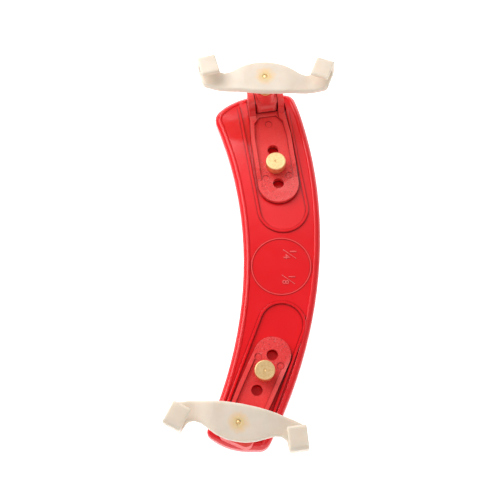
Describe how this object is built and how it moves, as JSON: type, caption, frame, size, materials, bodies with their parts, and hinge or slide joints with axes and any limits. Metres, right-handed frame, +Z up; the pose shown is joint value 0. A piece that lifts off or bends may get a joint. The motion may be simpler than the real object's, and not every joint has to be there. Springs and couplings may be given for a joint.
{
  "type": "violin shoulder rest",
  "caption": "Arched red violin shoulder rest with two brackets held by brass thumb screws and folding rubber forks that grip the violin's edge.",
  "frame": {"origin": "bottom centre of the bounding box, on the surface that the pad stands on", "axes": "+Y along the rest towards its wide shoulder end, +X to the side that the plate bows to, +Z up towards the violin"},
  "size_m": [0.0704, 0.1714, 0.0433],
  "materials": {
    "red_plastic": "glossy moulded red",
    "bracket_plastic": "satin moulded red with a fine grain",
    "brass": "turned and knurled brass",
    "pin_steel": "ground",
    "core_plastic": "natural nylon",
    "fork_rubber": "cream translucent rubber, satin",
    "pad_foam": "closed-cell black foam"
  },
  "bodies": {
    "base": {"base_plate": "red_plastic", "foam_pad": "pad_foam", "shoulder_screw_insert": "brass", "chest_screw_insert": "brass"},
    "shoulder_bracket": {"shoulder_bracket": "bracket_plastic", "shoulder_hinge_pin": "pin_steel"},
    "shoulder_screw_shank": {"shoulder_thumb_screw": "brass"},
    "shoulder_screw_head": {"shoulder_thumb_screw_head": "brass"},
    "shoulder_block": {"shoulder_swivel_block": "bracket_plastic", "shoulder_post_bush": "brass"},
    "shoulder_post": {"shoulder_post": "brass"},
    "shoulder_fork": {"shoulder_fork_core": "core_plastic", "shoulder_fork_cover": "fork_rubber"},
    "chest_bracket": {"chest_bracket": "bracket_plastic", "chest_hinge_pin": "pin_steel"},
    "chest_screw_shank": {"chest_thumb_screw": "brass"},
    "chest_screw_head": {"chest_thumb_screw_head": "brass"},
    "chest_block": {"chest_swivel_block": "bracket_plastic", "chest_post_bush": "brass"},
    "chest_post": {"chest_post": "brass"},
    "chest_fork": {"chest_fork_core": "core_plastic", "chest_fork_cover": "fork_rubber"}
  },
  "joints": [
    {"name": "shoulder_bracket_swivel", "type": "hinge", "parent": "base", "child": "shoulder_bracket", "pos_m": [0.01018, 0.04331, 0.0164], "axis": [0, 0.0661, 0.9978], "range_deg": [-0.7, 4]},
    {"name": "shoulder_screw_rise", "type": "slide", "parent": "base", "child": "shoulder_screw_shank", "axis": [0, 0.0661, 0.9978], "range_m": [0, 0.0035]},
    {"name": "shoulder_screw_turn", "type": "hinge", "parent": "shoulder_screw_shank", "child": "shoulder_screw_head", "pos_m": [0.01018, 0.04331, 0.0164], "axis": [0, 0.0661, 0.9978], "range_deg": [0, 1805]},
    {"name": "shoulder_fold", "type": "hinge", "parent": "shoulder_bracket", "child": "shoulder_block", "pos_m": [0.00591, 0.07325, 0.01903], "axis": [0.9898, 0.1423, -0.0094], "range_deg": [0, 65]},
    {"name": "shoulder_post_rise", "type": "slide", "parent": "shoulder_block", "child": "shoulder_post", "axis": [-0.0137, 0.1605, 0.9869], "range_m": [-0.0016, 0.004]},
    {"name": "shoulder_fork_turn", "type": "hinge", "parent": "shoulder_post", "child": "shoulder_fork", "pos_m": [0.00591, 0.07325, 0.01903], "axis": [-0.0137, 0.1605, 0.9869], "range_deg": [-725, 1805]},
    {"name": "chest_bracket_swivel", "type": "hinge", "parent": "base", "child": "chest_bracket", "pos_m": [0.00519, -0.04754, 0.0161], "axis": [0, -0.0673, 0.9977], "range_deg": [-0.5, 5]},
    {"name": "chest_screw_rise", "type": "slide", "parent": "base", "child": "chest_screw_shank", "axis": [0, -0.0673, 0.9977], "range_m": [0, 0.0035]},
    {"name": "chest_screw_turn", "type": "hinge", "parent": "chest_screw_shank", "child": "chest_screw_head", "pos_m": [0.00519, -0.04754, 0.0161], "axis": [0, -0.0673, 0.9977], "range_deg": [0, 1805]},
    {"name": "chest_fold", "type": "hinge", "parent": "chest_bracket", "child": "chest_block", "pos_m": [-0.00502, -0.07149, 0.01909], "axis": [-0.9184, 0.3946, 0.0266], "range_deg": [0, 55]},
    {"name": "chest_post_rise", "type": "slide", "parent": "chest_block", "child": "chest_post", "axis": [-0.0152, -0.1025, 0.9946], "range_m": [-0.0016, 0.004]},
    {"name": "chest_fork_turn", "type": "hinge", "parent": "chest_post", "child": "chest_fork", "pos_m": [-0.00502, -0.07149, 0.01909], "axis": [-0.0152, -0.1025, 0.9946], "range_deg": [-725, 1805]}
  ],
  "couplings": [
    {"joint": "shoulder_screw_turn", "follows": "shoulder_screw_rise", "rad_per_m": 8976},
    {"joint": "shoulder_fork_turn", "follows": "shoulder_post_rise", "rad_per_m": 7854},
    {"joint": "chest_screw_turn", "follows": "chest_screw_rise", "rad_per_m": 8976},
    {"joint": "chest_fork_turn", "follows": "chest_post_rise", "rad_per_m": 7854}
  ]
}
